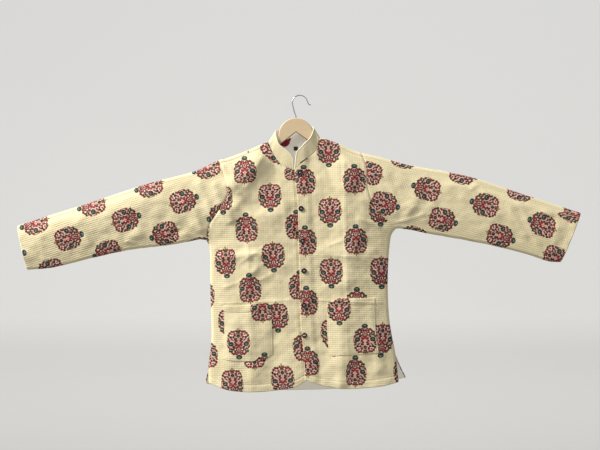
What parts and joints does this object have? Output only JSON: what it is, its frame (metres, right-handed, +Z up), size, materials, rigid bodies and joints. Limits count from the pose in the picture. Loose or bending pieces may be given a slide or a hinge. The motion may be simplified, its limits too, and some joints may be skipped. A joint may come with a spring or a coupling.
{
  "type": "quilted jacket on a wooden hanger",
  "caption": "Long-sleeved quilted cotton jacket with a mandarin collar, buttoned front, patch pockets and side slits, spread flat on a wooden hanger with a wire hook",
  "frame": {"origin": "inside of the crown of the hanger's hook, where it bears on whatever holds it up", "axes": "+Z up, +X towards the sleeve on the wearer's left, -Y out of the front of the jacket"},
  "size_m": [1.523, 0.0507, 0.8027],
  "materials": {
    "quilted_cloth": "cream cotton with rows of running stitch and a printed flower sprig in maroon, pink and dark green",
    "button": "dark brown, polished, with a lighter dished middle",
    "label_tape": "plain black woven tape",
    "hanger_wood": "pale varnished wood, fine straight grain",
    "hook_wire": "bright plated steel wire"
  },
  "bodies": {
    "root": {"front_right": "quilted_cloth", "front_left": "quilted_cloth", "back": "quilted_cloth", "sleeve_right": "quilted_cloth", "sleeve_left": "quilted_cloth", "collar": "quilted_cloth", "pocket_right": "quilted_cloth", "pocket_left": "quilted_cloth", "button_1": "button", "button_2": "button", "button_3": "button", "button_4": "button", "button_5": "button", "button_6": "button", "size_label": "label_tape", "hanger": "hanger_wood", "hanger_hook": "hook_wire"}
  },
  "joints": []
}
